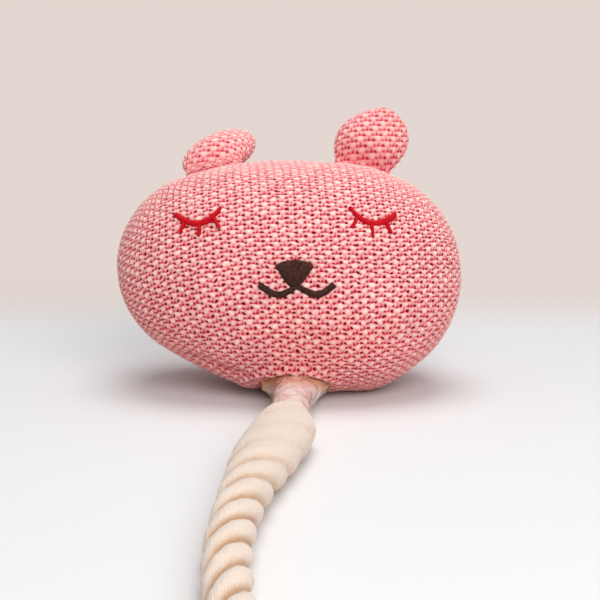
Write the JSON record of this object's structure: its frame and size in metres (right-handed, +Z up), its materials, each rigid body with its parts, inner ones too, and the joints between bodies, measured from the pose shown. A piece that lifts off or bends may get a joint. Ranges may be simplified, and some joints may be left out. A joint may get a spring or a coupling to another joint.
{
  "type": "knitted rattle dog toy",
  "caption": "Stuffed knitted animal head with embroidered closed eyes and soft ears on a twisted rope tail with an end knot and tassel, and a bead rattle inside, for a dog to shake.",
  "frame": {"origin": "on the flat under the head, straight below the middle of the head, where the toy sits", "axes": "+Z up, +X to the right of a person facing the toy, the face and the rope towards -Y"},
  "size_m": [0.1185, 0.3932, 0.0966],
  "materials": {
    "knit": "pink cotton yarn in a bumpy moss-stitch knit, matt",
    "filling": "white polyester fibre filling",
    "red_thread": "red embroidery thread, satin stitch, soft sheen",
    "brown_thread": "dark brown embroidery thread, satin stitch, soft sheen",
    "rope": "natural cotton rope of three twisted strands, matt and slightly hairy",
    "film": "clear crinkled plastic film, glossy",
    "capsule": "white moulded polypropylene",
    "bead": "plain steel balls"
  },
  "bodies": {
    "head": {"head_cover": "knit", "head_filling_lower": "filling", "head_filling_upper": "filling", "eye_left": "red_thread", "eye_right": "red_thread", "nose": "brown_thread", "mouth": "brown_thread", "neck_sleeve": "film", "rope_head_end": "rope", "rattle_cup": "capsule", "rattle_lid": "capsule"},
    "ear_left": {"ear_left_cover": "knit", "ear_left_filling": "filling"},
    "ear_right": {"ear_right_cover": "knit", "ear_right_filling": "filling"},
    "tail": {"rope_tail": "rope", "rope_end_knot": "rope", "rope_tassel": "rope"},
    "bead_1": {"rattle_bead_1": "bead"},
    "bead_2": {"rattle_bead_2": "bead"},
    "bead_3": {"rattle_bead_3": "bead"},
    "bead_4": {"rattle_bead_4": "bead"},
    "bead_5": {"rattle_bead_5": "bead"}
  },
  "joints": [
    {"name": "ear_left_fold", "type": "hinge", "parent": "head", "child": "ear_left", "pos_m": [-0.02649, 0.01333, 0.0773], "axis": [-0.9748, -0.0648, -0.2136], "range_deg": [-90, 4], "stiffness_Nm_per_rad": 0.02},
    {"name": "ear_right_fold", "type": "hinge", "parent": "head", "child": "ear_right", "pos_m": [0.02649, 0.01333, 0.0773], "axis": [-0.9748, 0.0648, 0.2136], "range_deg": [-40, 50], "stiffness_Nm_per_rad": 0.02},
    {"name": "rope_swing", "type": "hinge", "parent": "head", "child": "tail", "pos_m": [0.0013, -0.05856, 0.00686], "axis": [0, 0, 1], "range_deg": [-45, 45]},
    {"name": "bead_1_bounce", "type": "slide", "parent": "head", "child": "bead_1", "axis": [0, 0, 1], "range_m": [0, 0.0142]},
    {"name": "bead_2_bounce", "type": "slide", "parent": "head", "child": "bead_2", "axis": [0, 0, 1], "range_m": [0, 0.0142]},
    {"name": "bead_3_bounce", "type": "slide", "parent": "head", "child": "bead_3", "axis": [0, 0, 1], "range_m": [0, 0.0142]},
    {"name": "bead_4_bounce", "type": "slide", "parent": "head", "child": "bead_4", "axis": [0, 0, 1], "range_m": [0, 0.0142]},
    {"name": "bead_5_bounce", "type": "slide", "parent": "head", "child": "bead_5", "axis": [0, 0, 1], "range_m": [0, 0.0142]}
  ]
}
